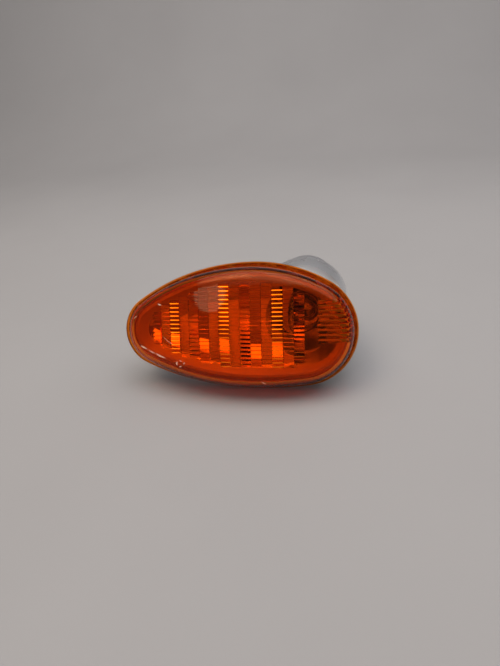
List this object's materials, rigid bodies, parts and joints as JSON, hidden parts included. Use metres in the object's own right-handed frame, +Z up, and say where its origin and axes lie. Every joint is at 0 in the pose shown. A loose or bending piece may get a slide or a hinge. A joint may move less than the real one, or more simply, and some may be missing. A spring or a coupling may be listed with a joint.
{
  "type": "vehicle indicator lamp",
  "caption": "Front indicator lamp with an amber egg-shaped lens, a silver reflector housing and a twist-in bulb holder at the back.",
  "frame": {"origin": "midway between the two screw bosses, in the plane of their end faces", "axes": "+X from the pointed end of the lens to its round end, +Y from the lens towards the vehicle, +Z up"},
  "size_m": [0.1243, 0.0819, 0.0655],
  "materials": {
    "amber_acrylic": "gloss",
    "sealant": "matte",
    "metallised_plastic": "gloss",
    "clear_glass": "gloss",
    "tungsten": "satin",
    "steel": "satin",
    "brass": "satin",
    "dark_glass": "gloss",
    "solder": "satin",
    "black_plastic": "matte",
    "black_rubber": "matte",
    "brown_laminate": "matte"
  },
  "bodies": {
    "root": {"lens": "amber_acrylic", "rim_sealant": "sealant", "reflector_housing": "metallised_plastic", "bulb_glass": "clear_glass", "bulb_lead_wires": "steel", "bulb_filament": "tungsten", "bulb_cap": "brass", "bulb_pins": "brass", "bulb_insulator": "dark_glass", "bulb_contact": "solder", "holder_body": "black_plastic", "holder_seal": "black_rubber", "socket_sleeve": "steel", "contact_carrier": "brown_laminate", "contact_plunger": "brass", "contact_spring": "steel", "live_terminal": "brass", "earth_terminal": "brass"}
  },
  "joints": []
}
